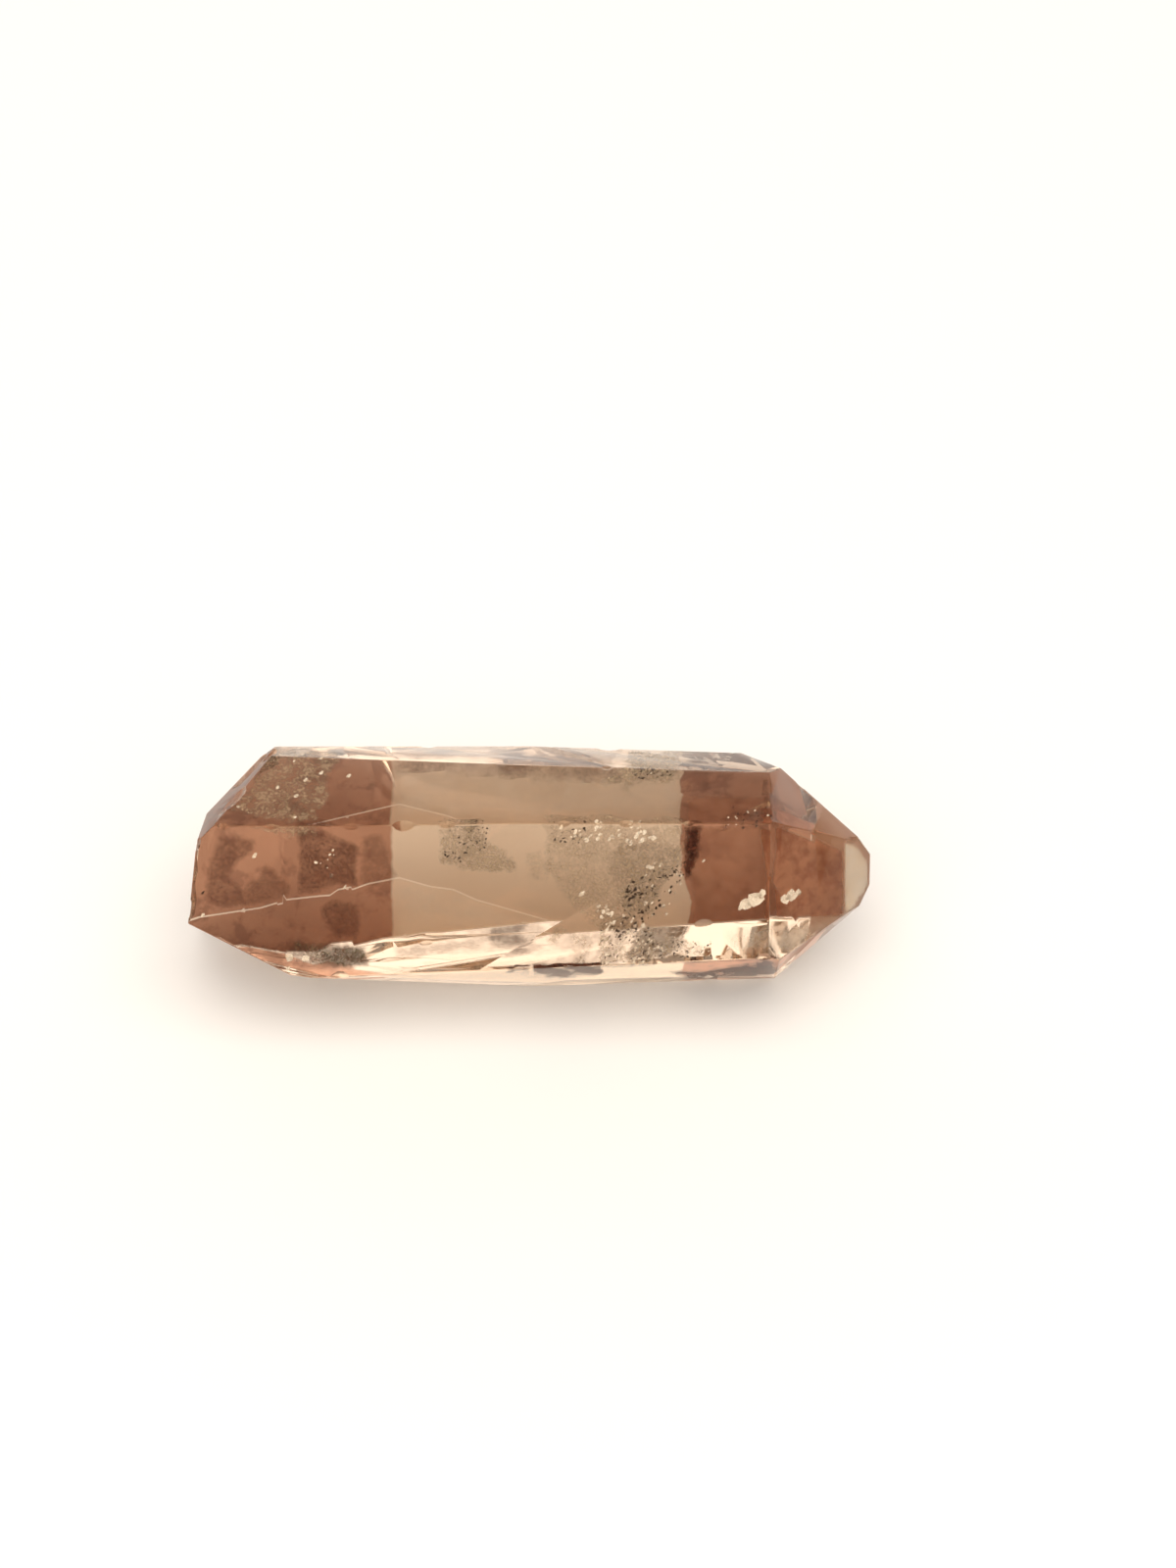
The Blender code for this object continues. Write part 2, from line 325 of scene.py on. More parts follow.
def markFaces(mesh):  # tells the material which polygons are tinted, worn or frosted
    marks = {name: mesh.attributes.new(name, "FLOAT", "FACE") for name in ("tinted", "worn", "frosted")}
    for polygon in mesh.polygons:
        centre = polygon.center / mm - axis
        on = [name for name, (point, normal) in planes.items()
              if normal.dot(polygon.normal) > crystal["onFaceWay"]
              and abs(normal.dot(centre - point)) < crystal["onFaceGap"]]
        polygon.use_smooth = not on
        marks["worn"].data[polygon.index].value = 0.0 if on else 1.0
        marks["tinted"].data[polygon.index].value = float(any(name in crystal["tinted"] for name in on))
        marks["frosted"].data[polygon.index].value = float(any(name in crystal["frosted"] for name in on))
    mesh.set_sharp_from_angle(angle=math.radians(crystal["sharpBend"]))


# Quartz, SiO2, as grown: it gives the eye clear smoky glass, warm in depth, with glossy flat faces
# and duller breaks. A reddish brown tint painted on the far side and the broken end, pale in the
# middle, makes both ends of the crystal reddish brown.
quartz = {
    "ior": 1.544,
    "faceRoughness": 0.02,
    "handledRoughness": 0.10,      # dull patches on the faces from handling
    "brokenRoughness": 0.26,
    "frostedRoughness": 0.38,
    "absorbColour": (0.77, 0.42, 0.077, 1),
    "absorbDensity": 16.0,         # per metre
    "gloss": "#e0b090",            # warms what the faces mirror
    "clearFace": "#fff8f0",
    "brokenFace": "#f3dfc8",
    "filmMiddle": "#c9ab8c",
    "filmEnds": "#824a32",
    "filmDark": "#5f3222",
    "filmLeftEdge": -14.2,         # mm along X, the film is pale between these two
    "filmRightEdge": 15.4,
    "filmLeftFade": 0.15,          # mm, half the width of the change
    "filmRightFade": 0.10,
    "edgeWander": 0.25,            # mm that the film's edges wander to and fro
    "edgeWanderWidth": 1.5,        # mm
    "edgeWanderDetail": 3.0,
    "blotchWidth": 3.2,            # mm
    "blotchDetail": (5.0, 0.62),   # how many finer layers, and their share
    "blotchRange": (0.52, 0.62),   # the noise's values where the film turns dark
    "handledWidth": 4.0,           # mm
    "handledDetail": (6.0, 0.7),
    "handledRange": (0.48, 0.75),
    "striationWidth": 0.5,         # mm, growth lines across the long faces
    "striationLength": 50.0,       # mm
    "striationDetail": 3.0,
    "striationHeight": 0.0015,     # mm
}


def noiseNode(tree, place, width, detail, roughness=0.5):  # a pattern whose blotches are width mm across
    settings = {"Scale": 1 / (width * mm), "Detail": detail, "Roughness": roughness}
    return addNode(tree, "ShaderNodeTexNoise", settings, {"Vector": place}).outputs["Fac"]


def rangeNode(tree, value, low, high, least=0.0, most=1.0):  # turns low to high into least to most
    settings = {"From Min": low, "From Max": high, "To Min": least, "To Max": most}
    return addNode(tree, "ShaderNodeMapRange", settings, {"Value": value}).outputs["Result"]


def sumNode(tree, first, second):
    return addNode(tree, "ShaderNodeMath", {"operation": "ADD"}, {0: first, 1: second}).outputs[0]


def scaleNode(tree, value, factor, shift):
    settings = {"operation": "MULTIPLY_ADD", 1: factor, 2: shift}
    return addNode(tree, "ShaderNodeMath", settings, {0: value}).outputs[0]


def colourMix(tree, share, first, second):  # each colour is a hex code or a socket
    settings, links = {"data_type": "RGBA"}, {0: share}
    for socket, colour in ((6, first), (7, second)):
        if isinstance(colour, str):
            settings[socket] = linearColour(colour)
        else:
            links[socket] = colour
    return addNode(tree, "ShaderNodeMix", settings, links).outputs[2]


def markOf(tree, name):
    return addNode(tree, "ShaderNodeAttribute", {"attribute_name": name}).outputs["Fac"]


def filmColour(tree, place):  # pale in the middle of the crystal, reddish brown and blotched at its ends
    parts = addNode(tree, "ShaderNodeSeparateXYZ", links={"Vector": place})
    wander = noiseNode(tree, place, quartz["edgeWanderWidth"], quartz["edgeWanderDetail"])
    shift = scaleNode(tree, wander, 2 * quartz["edgeWander"] * mm, -quartz["edgeWander"] * mm)
    along = sumNode(tree, parts.outputs["X"], shift)
    leftEdge, leftFade = quartz["filmLeftEdge"] * mm, quartz["filmLeftFade"] * mm
    rightEdge, rightFade = quartz["filmRightEdge"] * mm, quartz["filmRightFade"] * mm
    left = rangeNode(tree, along, leftEdge + leftFade, leftEdge - leftFade)
    right = rangeNode(tree, along, rightEdge - rightFade, rightEdge + rightFade)
    ends = sumNode(tree, left, right)
    blotch = noiseNode(tree, place, quartz["blotchWidth"], *quartz["blotchDetail"])
    dark = rangeNode(tree, blotch, *quartz["blotchRange"])
    return colourMix(tree, ends, quartz["filmMiddle"],
                     colourMix(tree, dark, quartz["filmEnds"], quartz["filmDark"]))


def faceRoughness(tree, place):
    handled = noiseNode(tree, place, quartz["handledWidth"], *quartz["handledDetail"])
    dull = rangeNode(tree, handled, *quartz["handledRange"], quartz["faceRoughness"],
                     quartz["handledRoughness"])
    for name, roughness in (("worn", "brokenRoughness"), ("frosted", "frostedRoughness")):
        dull = addNode(tree, "ShaderNodeMix", {3: quartz[roughness]},
                       {0: markOf(tree, name), 2: dull}).outputs[0]
    return dull


def growthLines(tree, place):
    across, along = 1 / (quartz["striationWidth"] * mm), 1 / (quartz["striationLength"] * mm)
    lines = addNode(tree, "ShaderNodeMapping", {"Scale": (across, along, along)}, {"Vector": place})
    growth = addNode(tree, "ShaderNodeTexNoise", {"Scale": 1.0, "Detail": quartz["striationDetail"]},
                     {"Vector": lines.outputs["Vector"]})
    return addNode(tree, "ShaderNodeBump", {"Strength": 1.0, "Distance": quartz["striationHeight"] * mm},
                   {"Height": growth.outputs["Fac"]}).outputs["Normal"]


def quartzMaterial():
    material = bpy.data.materials.new("smoky quartz, grown faces")
    material.use_nodes = True
    tree = material.node_tree
    shader = tree.nodes["Principled BSDF"]
    shader.inputs["IOR"].default_value = quartz["ior"]
    shader.inputs["Transmission Weight"].default_value = 1.0
    shader.inputs["Specular Tint"].default_value = linearColour(quartz["gloss"])
    place = addNode(tree, "ShaderNodeTexCoord").outputs["Object"]
    broken = colourMix(tree, markOf(tree, "worn"), quartz["clearFace"], quartz["brokenFace"])
    # the far faces and the broken end get the painted reddish brown tint, pale in the middle
    colour = colourMix(tree, markOf(tree, "tinted"), broken, filmColour(tree, place))
    tree.links.new(colour, shader.inputs["Base Color"])
    tree.links.new(faceRoughness(tree, place), shader.inputs["Roughness"])
    tree.links.new(growthLines(tree, place), shader.inputs["Normal"])
    absorb = addNode(tree, "ShaderNodeVolumeAbsorption",
                     {"Color": quartz["absorbColour"], "Density": quartz["absorbDensity"]})
    tree.links.new(absorb.outputs["Volume"], tree.nodes["Material Output"].inputs["Volume"])
    return material


skin = makeCrystal()
markFaces(skin.data)
skin.data.materials.clear()
skin.data.materials.append(quartzMaterial())
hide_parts("quartz_crystal")
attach(skin, "root")
print("crystal made,", len(skin.data.polygons), "faces")

# Sheets inside the quartz: what grew there, even tints, and pale sheets of painted light. Each sheet
# has its outline, where the photo shows the thing in picture points (1200 by 1600), how deep it lies,
# and its strength. Depth runs from 0 at the near side to 1 at the far side, along the line of sight,
# at the sheet's left and right end. Strength is its cover, and above 1 it closes the thin places too.
# Widths in mm: "patchWidth" and "grainWidth" of its blotches and specks, "ragged" of its rim and "soft"
# of the rim's fade. "holes" are the noise's values from open to closed, and "thin" is the cover between the
# specks.
sheetKinds = {
    # Healed cracks full of tiny fluid bubbles: speckled grey-beige clouds
    "grey_veils": {
        "material": "fluid bubble veil",
        "dark": "#8a7560", "light": "#cdb698",
        "patchWidth": 1.6, "grainWidth": 0.36, "ragged": 0.9, "soft": 0.5,
        "holes": (0.36, 0.56), "thin": 0.30,
        "sheets": [               # outline, deep, strength
            ([(268, 766), (300, 764), (345, 764), (350, 776), (338, 790), (334, 815), (324, 838), (300, 840),
              (262, 836), (236, 828), (243, 812), (258, 800), (256, 784)], (0.18, 0.24), 0.80),
            ([(447, 842), (462, 840), (497, 840), (499, 858), (512, 866), (527, 874), (530, 888), (505, 892),
              (470, 888), (448, 882)], (0.10, 0.16), 0.85),
            ([(534, 868), (552, 868), (566, 884), (558, 902), (538, 896)], (0.14, 0.14), 0.35),
            ([(554, 842), (600, 842), (650, 842), (700, 842), (700, 872), (690, 890), (676, 905), (668, 925),
              (655, 940), (640, 955), (612, 950), (590, 930), (570, 912), (556, 885)], (0.20, 0.12), 0.58),
            ([(624, 862), (660, 858), (697, 862), (697, 880), (684, 895), (672, 915), (655, 930), (636, 930),
              (626, 905), (618, 885)], (0.14, 0.09), 0.70),
            ([(610, 800), (632, 784), (640, 772), (640, 763), (697, 765), (697, 795), (670, 800), (640, 806)],
             (0.10, 0.10), 0.95),
            ([(640, 764), (697, 766), (697, 786), (668, 792), (642, 790)], (0.07, 0.07), 0.95),
            ([(556, 955), (567, 943), (580, 944), (572, 958), (558, 968)], (0.20, 0.20), 0.55),
            ([(577, 946), (602, 946), (606, 970), (598, 985), (580, 985), (575, 965)], (0.22, 0.25), 0.50),
            ([(609, 917), (640, 935), (668, 945), (668, 985), (640, 985), (612, 984), (608, 950)],
             (0.20, 0.16), 0.60),
            ([(651, 958), (690, 955), (728, 962), (726, 978), (690, 980), (655, 978)], (0.14, 0.12), 0.60),
        ],
    },
    # Iron oxide in thin films: soft reddish brown stains, darker than the quartz round them
    "rust_films": {
        "material": "iron oxide film",
        "dark": "#451d12", "light": "#74402c",
        "patchWidth": 2.2, "grainWidth": 0.35, "ragged": 0.7, "soft": 0.6,
        "holes": (0.30, 0.52), "thin": 0.6,
        "sheets": [
            ([(207, 915), (212, 880), (222, 852), (245, 850), (262, 858), (262, 870), (245, 878), (238, 895),
              (248, 905), (262, 895), (270, 880), (285, 890), (298, 905), (296, 918), (270, 922), (235, 928),
              (215, 925)], (0.14, 0.20), 0.60),
            ([(302, 846), (330, 846), (345, 852), (368, 862), (365, 885), (366, 905), (345, 905), (325, 912),
              (303, 915)], (0.16, 0.18), 0.75),
            ([(366, 850), (392, 850), (399, 870), (406, 892), (400, 902), (380, 905), (366, 906)],
             (0.16, 0.16), 0.45),
            ([(325, 925), (345, 915), (366, 920), (370, 945), (366, 958), (345, 958), (330, 945)],
             (0.18, 0.20), 0.70),
            ([(240, 962), (300, 960), (378, 958), (378, 988), (320, 993), (270, 986)], (0.10, 0.14), 0.60),
            ([(696, 842), (718, 842), (716, 862), (712, 876), (702, 878), (696, 870)], (0.07, 0.07), 0.95),
            ([(698, 878), (708, 876), (706, 896), (697, 900)], (0.07, 0.07), 0.90),
            ([(697, 843), (717, 843), (714, 872), (706, 894), (698, 896)], (0.10, 0.10), 2.2),
            ([(402, 762), (480, 761), (560, 760), (636, 763), (636, 783), (560, 781), (480, 778), (402, 776)],
             (0.50, 0.50), 0.50),
            ([(500, 760), (534, 761), (542, 775), (520, 779), (500, 776)], (0.40, 0.40), 0.70),
            ([(517, 984), (542, 983), (542, 994), (517, 995)], (0.06, 0.06), 2.2),
            ([(543, 983), (617, 982), (615, 996), (560, 998), (544, 995)], (0.06, 0.06), 2.4),
            ([(678, 990), (720, 990), (760, 982), (781, 978), (797, 984), (790, 996), (760, 1002),
              (700, 1000)], (0.06, 0.06), 2.0),
            ([(733, 838), (748, 822), (765, 826), (775, 818), (790, 824), (788, 838)], (0.12, 0.15), 0.60),
            ([(784, 798), (790, 796), (800, 820), (794, 828), (787, 818)], (0.20, 0.20), 0.70),
            ([(712, 795), (722, 792), (729, 806), (716, 809)], (0.30, 0.30), 0.50),
        ],
    },
    # An even brown sheet in the point: it hides the glints there and makes the point a warm, closed brown
    "point_brown_sheet": {
        "material": "even brown point sheet",
        "dark": "#a3664a", "light": "#bd8262",
        "patchWidth": 3.0, "grainWidth": 1.2, "ragged": 0.25, "soft": 0.4,
        "holes": (0.10, 0.30), "thin": 0.96,
        "sheets": [
            ([(700, 842), (786, 842), (788, 940), (700, 941)], (0.50, 0.50), 0.45),
            ([(790, 842), (861, 868), (861, 936), (792, 940)], (0.35, 0.35), 0.97),
        ],
    },
    # A pale cream sheet just under the tip facet: it makes the tip light cream
    "tip_pale_sheet": {
        "material": "pale cream tip sheet",
        "dark": "#fbe2c4", "light": "#fff0dc",
        "patchWidth": 1.5, "grainWidth": 0.9, "ragged": 0.15, "soft": 0.3,
        "holes": (0.10, 0.30), "thin": 0.96,
        "sheets": [
            ([(861, 860), (872, 860), (882, 872), (890, 886), (894, 900), (892, 910), (878, 922), (861, 936)],
             (0.10, 0.20), 0.95),
        ],
    },
    # Partly milky quartz, mostly painted light: a faint pale haze laid where it brightens the windows whose
    # view of the floor lies in shade, the band along the lower edge, and the lower strip that mirrors the
    # floor
    "milky_haze_and_painted_light": {
        "material": "milky haze and painted light",
        "dark": "#f8e4cc", "light": "#fff2e0",
        "patchWidth": 3.5, "grainWidth": 0.6, "ragged": 0.8, "soft": 1.2,
        "holes": (0.25, 0.55), "thin": 0.8,
        "sheets": [
            ([(402, 782), (520, 784), (636, 787), (697, 790), (697, 836), (402, 836)], (0.14, 0.14), 0.16),
            ([(404, 900), (470, 906), (560, 936), (600, 938), (500, 951), (404, 960)], (0.22, 0.16), 0.16),
            ([(736, 944), (858, 936), (812, 976), (740, 977)], (0.10, 0.10), 0.50),
            ([(640, 944), (700, 942), (700, 976), (640, 978)], (0.12, 0.12), 0.35),
            ([(430, 990), (600, 986), (790, 984), (780, 1000), (560, 1003), (430, 999)], (0.14, 0.14), 0.35),
        ],
    },
    # Clay-like mineral dust, caught while the crystal grew: a dark grey-green smudge
    "green_dust": {
        "material": "grey-green mineral dust",
        "dark": "#5a5643", "light": "#8a8468",
        "patchWidth": 1.5, "grainWidth": 0.25, "ragged": 0.6, "soft": 0.5,
        "holes": (0.25, 0.50), "thin": 0.5,
        "sheets": [
            ([(300, 958), (330, 960), (372, 965), (376, 985), (350, 990), (320, 985), (296, 975)],
             (0.20, 0.22), 0.75),
            ([(325, 966), (345, 964), (374, 965), (375, 985), (340, 987), (326, 980)], (0.30, 0.30), 0.80),
        ],
    },
}

# Tiny open cracks that throw light back like a mirror, and dark mineral grains. A "single" one has its
# picture point, half width in mm and depth. A cluster has its outline, how many it holds, and the
# ranges of their half widths and depths.
flakeKinds = {
    # Cracks filled with air: cream-white sparks, turned so that they mirror the light
    "bright_cracks": {
        "material": "air-filled inner crack",
        "colour": "#fff0da", "metal": 0.6, "roughness": 0.25, "aimed": True, "jitter": 0.07,
        "single": [               # picture point, half width in mm, deep
            (761, 922, 0.85, 0.05), (771, 917, 0.85, 0.05), (777, 912, 0.48, 0.05), (755, 926, 0.45, 0.06),
            (801, 918, 0.65, 0.05), (809, 914, 0.75, 0.05), (815, 911, 0.45, 0.05),
            (328, 774, 0.28, 0.08), (300, 777, 0.20, 0.10), (309, 770, 0.24, 0.12), (328, 789, 0.36, 0.10),
            (312, 796, 0.40, 0.10), (356, 792, 0.30, 0.08), (283, 804, 0.28, 0.10), (302, 812, 0.32, 0.10),
            (301, 834, 0.20, 0.10), (243, 823, 0.20, 0.10), (233, 820, 0.16, 0.10), (260, 873, 0.42, 0.30),
            (207, 934, 0.26, 0.10), (294, 988, 0.26, 0.10), (295, 976, 0.50, 0.10), (312, 978, 0.45, 0.12),
            (718, 878, 0.26, 0.10), (594, 912, 0.45, 0.10), (352, 905, 0.30, 0.25), (338, 893, 0.26, 0.25),
        ],
        "clusters": [             # outline, how many, half widths in mm, deep
            ([(560, 843), (660, 843), (675, 856), (640, 862), (590, 858)], 40, (0.14, 0.36), (0.05, 0.10)),
            ([(609, 917), (640, 935), (668, 945), (668, 985), (612, 984)], 80, (0.10, 0.30), (0.05, 0.10)),
            ([(650, 960), (728, 960), (726, 978), (655, 978)], 30, (0.08, 0.20), (0.05, 0.09)),
            ([(660, 880), (700, 880), (690, 930), (650, 945)], 20, (0.10, 0.26), (0.05, 0.09)),
            ([(733, 838), (760, 824), (785, 826), (788, 838)], 7, (0.08, 0.18), (0.05, 0.09)),
            ([(640, 766), (696, 768), (690, 790), (650, 790)], 10, (0.08, 0.20), (0.05, 0.10)),
            ([(320, 865), (350, 865), (350, 900), (325, 900)], 7, (0.08, 0.22), (0.08, 0.14)),
        ],
    },
    # Grains of a dark mineral: dull brown-black specks that give the veils their bite
    "dark_grains": {
        "material": "dark mineral grain",
        "colour": "#33251c", "metal": 0.0, "roughness": 0.55, "aimed": False, "jitter": 1.0,
        "single": [
            (207, 911, 0.30, 0.10), (214, 905, 0.24, 0.12), (391, 964, 0.16, 0.10), (391, 972, 0.14, 0.10),
        ],
        "clusters": [
            ([(640, 900), (700, 874), (700, 892), (684, 912), (664, 935), (640, 958), (625, 955)],
             170, (0.10, 0.28), (0.06, 0.12)),
            ([(612, 940), (668, 945), (668, 984), (612, 984)], 80, (0.08, 0.22), (0.06, 0.12)),
            ([(651, 960), (728, 960), (726, 978), (655, 978)], 80, (0.08, 0.20), (0.06, 0.10)),
            ([(450, 842), (500, 842), (500, 862), (470, 880), (450, 876)], 60, (0.08, 0.22), (0.06, 0.12)),
            ([(560, 845), (600, 845), (590, 862), (565, 860)], 36, (0.08, 0.22), (0.06, 0.12)),
            ([(640, 766), (696, 768), (690, 792), (650, 795)], 110, (0.10, 0.24), (0.04, 0.09)),
            ([(733, 838), (748, 822), (790, 824), (788, 838)], 36, (0.08, 0.20), (0.05, 0.10)),
        ],
    },
}

# What the small cracks and grains share
flakeShape = {
    "corners": 7,
    "large": 0.5,                 # mm, a plate of this half width isn't narrowed
    "stretch": (0.45, 0.9),       # width over length of the smaller ones
    "reach": (0.6, 1.1),          # of a corner, as a share of the half width
    "warp": 0.1,                  # how far a corner bends out of flat, as a share too
    "mottleWidth": 0.3,           # mm
    "mottleDetail": 3.0,
    "mottleDark": 0.6,            # share of the colour that is left in the dark spots
    "roughRange": (0.6, 1.5),     # from the smooth to the rough spots, times the plate's roughness
}

# How everything inside is laid into the quartz
growth = {
    "pointsPerMm": 10.0,          # picture points to a mm at the crystal
    "pictureCentre": (600, 800),
    "sheetStep": 3,               # picture points from one corner of a sheet's mesh to the next
    "sheetMargin": 9,             # picture points that the mesh runs past the outline
    "crumple": 0.05,              # how much a sheet bends in and out, as a share of the way through
    "crumpleWidth": 30,           # picture points from one bend to the next
    "crumpleLayers": (1.0, 2.0, 3),  # how fast finer bends get lower, how much finer, how many
    "crumplePlaces": 50,          # how far apart the sheets' crumples may be taken from the noise
    "shallowest": 0.03,           # shares of the way through
    "deepest": 0.95,
    "leastCover": 0.12,           # mm of quartz over every part of it
    "lightWay": (0.0, -0.30, 0.95),  # towards the overhead softbox
    "seed": 23,                   # for the sheets' crumples and the small cracks and grains
}


def crossing(start, ray, entering):  # where a straight line goes into the crystal, or out of it
    hits = []
    for point, normal in planes.values():
        slope = ray.dot(normal)
        if (slope < 0) == entering and slope:
            hits.append(((point - start).dot(normal) / slope, normal))
    return max(hits, key=lambda hit: hit[0]) if entering else min(hits, key=lambda hit: hit[0])


def intoQuartz(ray, normal):  # the way a ray goes on inside a face that it meets from outside
    squeeze = 1 / quartz["ior"]
    facing = -ray.dot(normal)
    bent = ray * squeeze + normal * (squeeze * facing - math.sqrt(1 - squeeze ** 2 * (1 - facing ** 2)))
    return bent.normalized()


def lineOfSight(px, py):  # the camera's line through a picture point, bent as it goes into the quartz
    acrossPicture = (px - growth["pictureCentre"][0]) / growth["pointsPerMm"]
    upPicture = (growth["pictureCentre"][1] - py) / growth["pointsPerMm"]
    seen = pictureMiddle + Vector((acrossPicture, 0, 0)) + pictureUp * upPicture
    ray = (seen - eye).normalized()
    reach, normal = crossing(eye - axis, ray, True)
    start = eye - axis + ray * reach
    bent = intoQuartz(ray, normal)
    return start, bent, crossing(start, bent, False)[0], normal


def intoCrystal(px, py, deep):  # no point where the line misses the crystal or only grazes it
    start, ray, length, normal = lineOfSight(px, py)
    deep = min(max(deep, growth["shallowest"]), growth["deepest"])
    point = start + ray * length * deep
    cover = min((onFace - point).dot(way) for onFace, way in planes.values())
    return (point if cover > growth["leastCover"] else None), ray, normal


def insideBy(px, py, outline):  # how far inside the outline a picture point is, in mm, negative outside
    here = Vector((px, py))
    nearest, inside = math.inf, False
    for a, b in zip(outline, outline[1:] + outline[:1]):
        foot, share = geometry.intersect_point_line(here, Vector(a), Vector(b))
        foot = Vector(a).lerp(Vector(b), min(max(share, 0), 1))
        nearest = min(nearest, (here - foot).length)
        if (a[1] > py) != (b[1] > py) and px < a[0] + (py - a[1]) / (b[1] - a[1]) * (b[0] - a[0]):
            inside = not inside
    return (nearest if inside else -nearest) / growth["pointsPerMm"]


def addSheet(bm, outline, deep, strength, draw):  # a crumpled net over an outline, on both sides of its rim
    step, margin = growth["sheetStep"], growth["sheetMargin"]
    left, right = min(p[0] for p in outline), max(p[0] for p in outline)
    top, foot = min(p[1] for p in outline), max(p[1] for p in outline)
    reachLayer, strengthLayer = bm.verts.layers.float["reach"], bm.verts.layers.float["strength"]
    shift = Vector((0, 0, draw.uniform(0, growth["crumplePlaces"])))
    rows = []
    for py in range(top - margin, foot + margin + 1, step):
        row = []
        for px in range(left - margin, right + margin + 1, step):
            fold = noise.fractal(Vector((px, py, 0)) / growth["crumpleWidth"] + shift,
                                 *growth["crumpleLayers"])
            share = (px - left) / (right - left)
            there = deep[0] + (deep[1] - deep[0]) * share + fold * growth["crumple"]
            point = intoCrystal(px, py, there)[0]
            vert = None
            if point is not None:
                vert = bm.verts.new((point + axis) * mm)
                vert[reachLayer] = insideBy(px, py, outline)
                vert[strengthLayer] = strength
            row.append(vert)
        rows.append(row)
    for upper, lower in zip(rows, rows[1:]):
        for i in range(len(upper) - 1):
            corners = (upper[i], upper[i + 1], lower[i + 1], lower[i])
            if all(corners) and max(c[reachLayer] for c in corners) > -margin / growth["pointsPerMm"]:
                bm.faces.new(corners).smooth = True


# What all the sheets share: dull, and let through in specks
sheetLook = {
    "roughness": 0.75,
    "specular": 0.15,
    "patchDetail": (7.0, 0.68),   # how many finer layers, and their share
    "grainDetail": 4.0,
    "holeCover": 0.25,            # how much is left where the patches have holes
    "grainRange": (0.35, 0.60),   # the noise's values from thin to full cover
    "toneRange": (0.86, 1.14),    # both noises' sum, from the dark colour to the light one
}


def sheetMaterial(look):
    material = bpy.data.materials.new(look["material"])
    material.use_nodes = True
    tree = material.node_tree
    shader = tree.nodes["Principled BSDF"]
    shader.inputs["Roughness"].default_value = sheetLook["roughness"]
    shader.inputs["Specular IOR Level"].default_value = sheetLook["specular"]
    place = addNode(tree, "ShaderNodeTexCoord").outputs["Object"]
    patch = noiseNode(tree, place, look["patchWidth"], *sheetLook["patchDetail"])
    grain = noiseNode(tree, place, look["grainWidth"], sheetLook["grainDetail"])
    rim = sumNode(tree, scaleNode(tree, patch, 2 * look["ragged"], -look["ragged"]), markOf(tree, "reach"))
    alpha = markOf(tree, "strength")
    for factor in (rangeNode(tree, rim, 0.0, look["soft"]),
                   rangeNode(tree, patch, *look["holes"], sheetLook["holeCover"]),
                   rangeNode(tree, grain, *sheetLook["grainRange"], look["thin"])):
        alpha = addNode(tree, "ShaderNodeMath", {"operation": "MULTIPLY"}, {0: alpha, 1: factor}).outputs[0]
    tree.links.new(alpha, shader.inputs["Alpha"])
    tone = rangeNode(tree, sumNode(tree, grain, patch), *sheetLook["toneRange"])
    tree.links.new(colourMix(tree, tone, look["dark"], look["light"]), shader.inputs["Base Color"])
    return material


def makeSheets(name, look, draw):  # all the sheets of one kind, as one piece
    bm = bmesh.new()
    bm.verts.layers.float.new("reach")
    bm.verts.layers.float.new("strength")
    for outline, deep, strength in look["sheets"]:
        addSheet(bm, outline, deep, strength, draw)
    finishPiece(name, bm, sheetMaterial(look))


def addFlake(bm, px, py, halfWidth, deep, look, draw):  # a small plate with a ragged rim
    point, ray, normal = intoCrystal(px, py, deep)
    if point is None:
        return
    toLight = (intoQuartz(-Vector(growth["lightWay"]), normal) + ray) * -1
    facing = toLight if look["aimed"] else Vector((0, 0, 0))
    tilt = Vector([draw.gauss(0, 1) for i in range(3)]) * look["jitter"]
    facing = (facing.normalized() + tilt).normalized()
    side = facing.orthogonal().normalized()
    other = facing.cross(side)
    stretch = draw.uniform(*flakeShape["stretch"]) if halfWidth < flakeShape["large"] else 1.0
    warp = flakeShape["warp"]
    rim = []
    for i in range(flakeShape["corners"]):
        turn = math.tau * i / flakeShape["corners"]
        size = halfWidth * draw.uniform(*flakeShape["reach"])
        offset = side * math.cos(turn) * size + other * math.sin(turn) * size * stretch
        rim.append(bm.verts.new((point + offset + facing * size * draw.uniform(-warp, warp) + axis) * mm))
    middle = bm.verts.new((point + axis) * mm)
    for a, b in zip(rim, rim[1:] + rim[:1]):
        bm.faces.new((middle, a, b))


def flakeMaterial(look):
    material = bpy.data.materials.new(look["material"])
    material.use_nodes = True
    tree = material.node_tree
    shader = tree.nodes["Principled BSDF"]
    shader.inputs["Metallic"].default_value = look["metal"]
    place = addNode(tree, "ShaderNodeTexCoord").outputs["Object"]
    mottle = noiseNode(tree, place, flakeShape["mottleWidth"], flakeShape["mottleDetail"])
    darker = [c * flakeShape["mottleDark"] for c in linearColour(look["colour"])[:3]] + [1]
    colour = addNode(tree, "ShaderNodeMix",
                     {"data_type": "RGBA", 6: linearColour(look["colour"]), 7: darker}, {0: mottle})
    tree.links.new(colour.outputs[2], shader.inputs["Base Color"])
    smooth, rough = flakeShape["roughRange"]
    roughness = rangeNode(tree, mottle, 0.0, 1.0, look["roughness"] * smooth, look["roughness"] * rough)
    tree.links.new(roughness, shader.inputs["Roughness"])
    return material


def makeFlakes(name, look, draw):  # all the plates or grains of one kind, as one piece
    bm = bmesh.new()
    for px, py, halfWidth, deep in look["single"]:
        addFlake(bm, px, py, halfWidth, deep, look, draw)
    for outline, count, sizes, deep in look["clusters"]:
        xs, ys = [p[0] for p in outline], [p[1] for p in outline]
        while count:
            px, py = draw.uniform(min(xs), max(xs)), draw.uniform(min(ys), max(ys))
            if insideBy(px, py, outline) > 0:
                addFlake(bm, px, py, draw.uniform(*sizes), draw.uniform(*deep), look, draw)
                count -= 1
    finishPiece(name, bm, flakeMaterial(look))


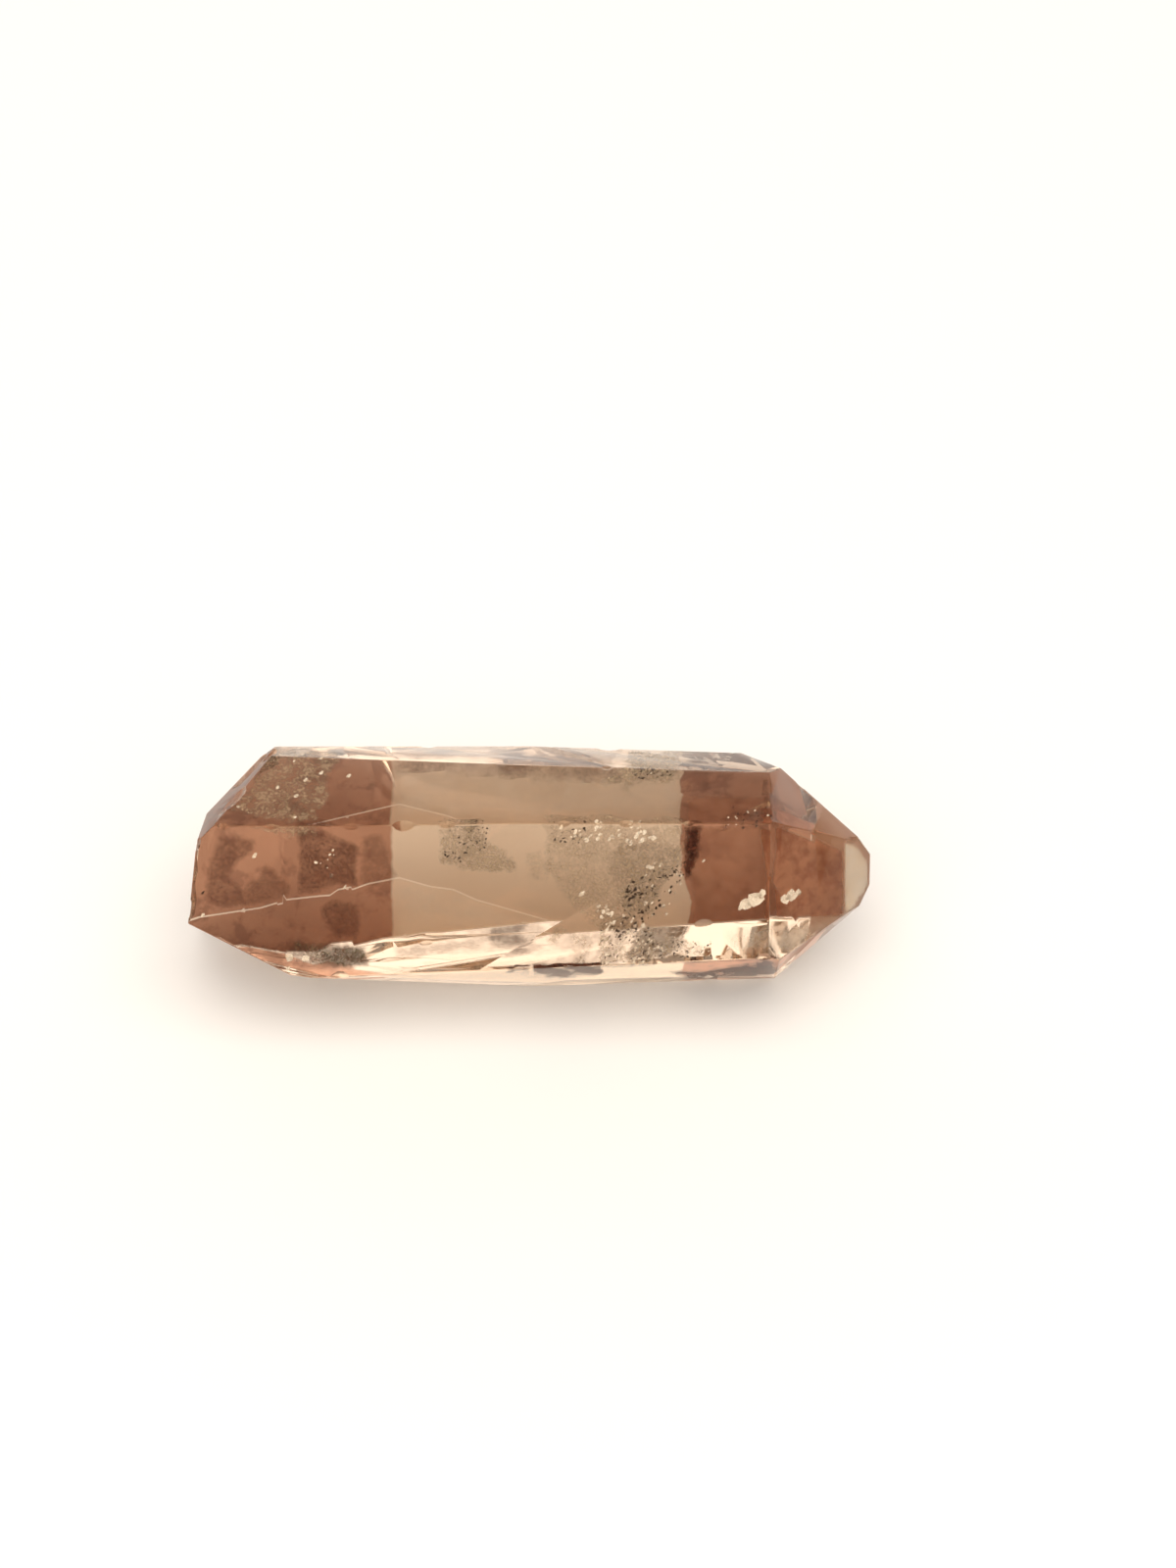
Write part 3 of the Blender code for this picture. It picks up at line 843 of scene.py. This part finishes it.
def finishPiece(name, bm, material):
    mesh = bpy.data.meshes.new(name)
    bm.to_mesh(mesh)
    bm.free()
    piece = newObject(name, mesh)
    piece.data.materials.append(material)
    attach(piece, "root")
    print(name, "made,", len(mesh.polygons), "faces")


growthDraw = random.Random(growth["seed"])
for name, look in sheetKinds.items():
    makeSheets(name, look, growthDraw)
for name, look in flakeKinds.items():
    makeFlakes(name, look, growthDraw)


studio = {
    "floor": "#f6f4f1",
    "floorSize": 3.0,             # m
    "floorDrop": 0.0002,          # m under the crystal's resting face
    "floorRoughness": 0.8,
    "surroundings": "#fffaf4",
    "surroundingsStrength": 0.40,
    "wallStrength": 2.0,          # the lit wall behind the crystal
    "wallAcross": (0.1, 0.6),     # from its start to its full light, as the Y of the way to it
    "wallUp": (0.58, 0.4),        # from its top to its full light, as the Z of the way to it
    # middle in m, width and depth in m, watts, colour
    "softboxes": {
        "overhead softbox": ((-0.05, -0.25, 0.80), 2.0, 1.8, 15.0, "#fff6ec"),
    },
    "bounces": 24,                # light turns back many times inside the crystal
    "glossyBounces": 16,
    "clearLayers": 32,            # sheets that a ray may pass one after the other
}


def makeFloor():
    bpy.ops.mesh.primitive_plane_add(size=studio["floorSize"], location=(0, 0, -studio["floorDrop"]))
    floor = bpy.context.object
    floor.name = "floor"
    material = bpy.data.materials.new("matt white board")  # a pale, even ground with a soft shadow
    material.use_nodes = True
    shader = material.node_tree.nodes["Principled BSDF"]
    shader.inputs["Base Color"].default_value = linearColour(studio["floor"])
    shader.inputs["Roughness"].default_value = studio["floorRoughness"]
    floor.data.materials.append(material)


def makeLights():
    for name, (place, width, depth, watts, colour) in studio["softboxes"].items():
        data = bpy.data.lights.new(name, "AREA")
        data.shape = "RECTANGLE"
        data.size = width
        data.size_y = depth
        data.energy = watts
        data.color = linearColour(colour)[:3]
        light = newObject(name, data)
        light.location = place
        light.rotation_euler = (-Vector(place)).to_track_quat("-Z", "Y").to_euler()


def makeSurroundings():  # pale walls all round, and a brighter one low behind the crystal
    world = bpy.data.worlds.new("studio walls")
    world.use_nodes = True
    tree = world.node_tree
    background = tree.nodes["Background"]
    background.inputs["Color"].default_value = linearColour(studio["surroundings"])
    way = addNode(tree, "ShaderNodeTexCoord").outputs["Generated"]
    parts = addNode(tree, "ShaderNodeSeparateXYZ", links={"Vector": way})
    behind = rangeNode(tree, parts.outputs["Y"], *studio["wallAcross"])
    low = rangeNode(tree, parts.outputs["Z"], *studio["wallUp"])
    wall = addNode(tree, "ShaderNodeMath", {"operation": "MULTIPLY"}, {0: behind, 1: low}).outputs[0]
    strength = rangeNode(tree, wall, 0.0, 1.0, studio["surroundingsStrength"], studio["wallStrength"])
    tree.links.new(strength, background.inputs["Strength"])
    scene.world = world


makeFloor()
makeLights()
makeSurroundings()
scene.view_settings.view_transform = "Standard"
scene.cycles.caustics_reflective = False  # no glints thrown on the board
scene.cycles.max_bounces = studio["bounces"]
scene.cycles.transmission_bounces = studio["bounces"]
scene.cycles.glossy_bounces = studio["glossyBounces"]
scene.cycles.transparent_max_bounces = studio["clearLayers"]
print("floor, light and walls made")
